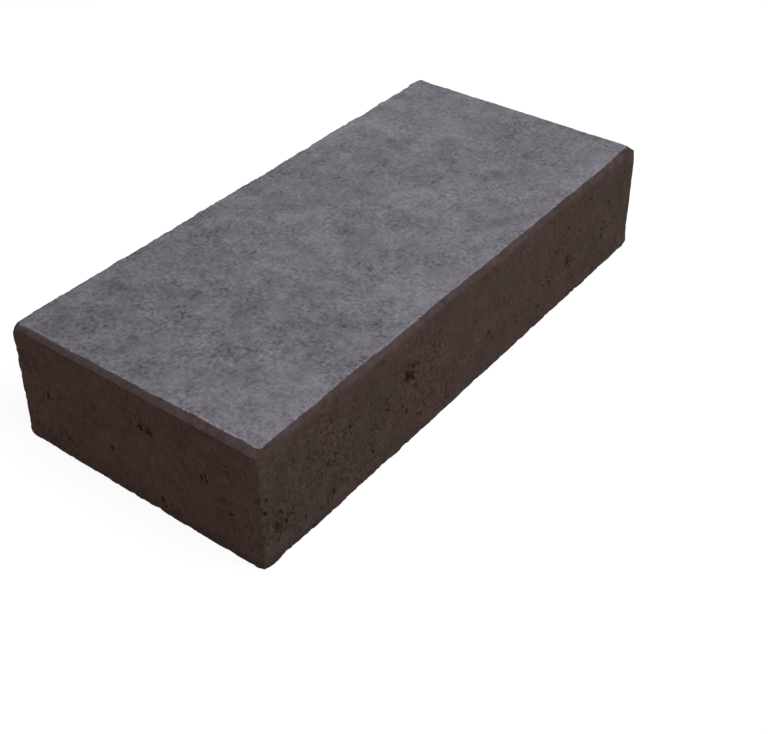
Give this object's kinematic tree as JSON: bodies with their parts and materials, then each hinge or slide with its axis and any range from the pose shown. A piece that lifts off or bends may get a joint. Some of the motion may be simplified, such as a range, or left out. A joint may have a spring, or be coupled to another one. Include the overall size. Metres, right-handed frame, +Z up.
{
  "type": "concrete block step",
  "caption": "Solid rectangular concrete garden step, cast in one piece, with a flat tread and a narrow chamfer round its top edges.",
  "frame": {"origin": "centre of the underside, at the level of the bed", "axes": "+X along the length, +Y from the riser at the front to the back, +Z up to the tread"},
  "size_m": [0.75, 0.35, 0.15],
  "materials": {
    "concrete": "matte"
  },
  "bodies": {
    "root": {"block_step": "concrete"}
  },
  "joints": []
}
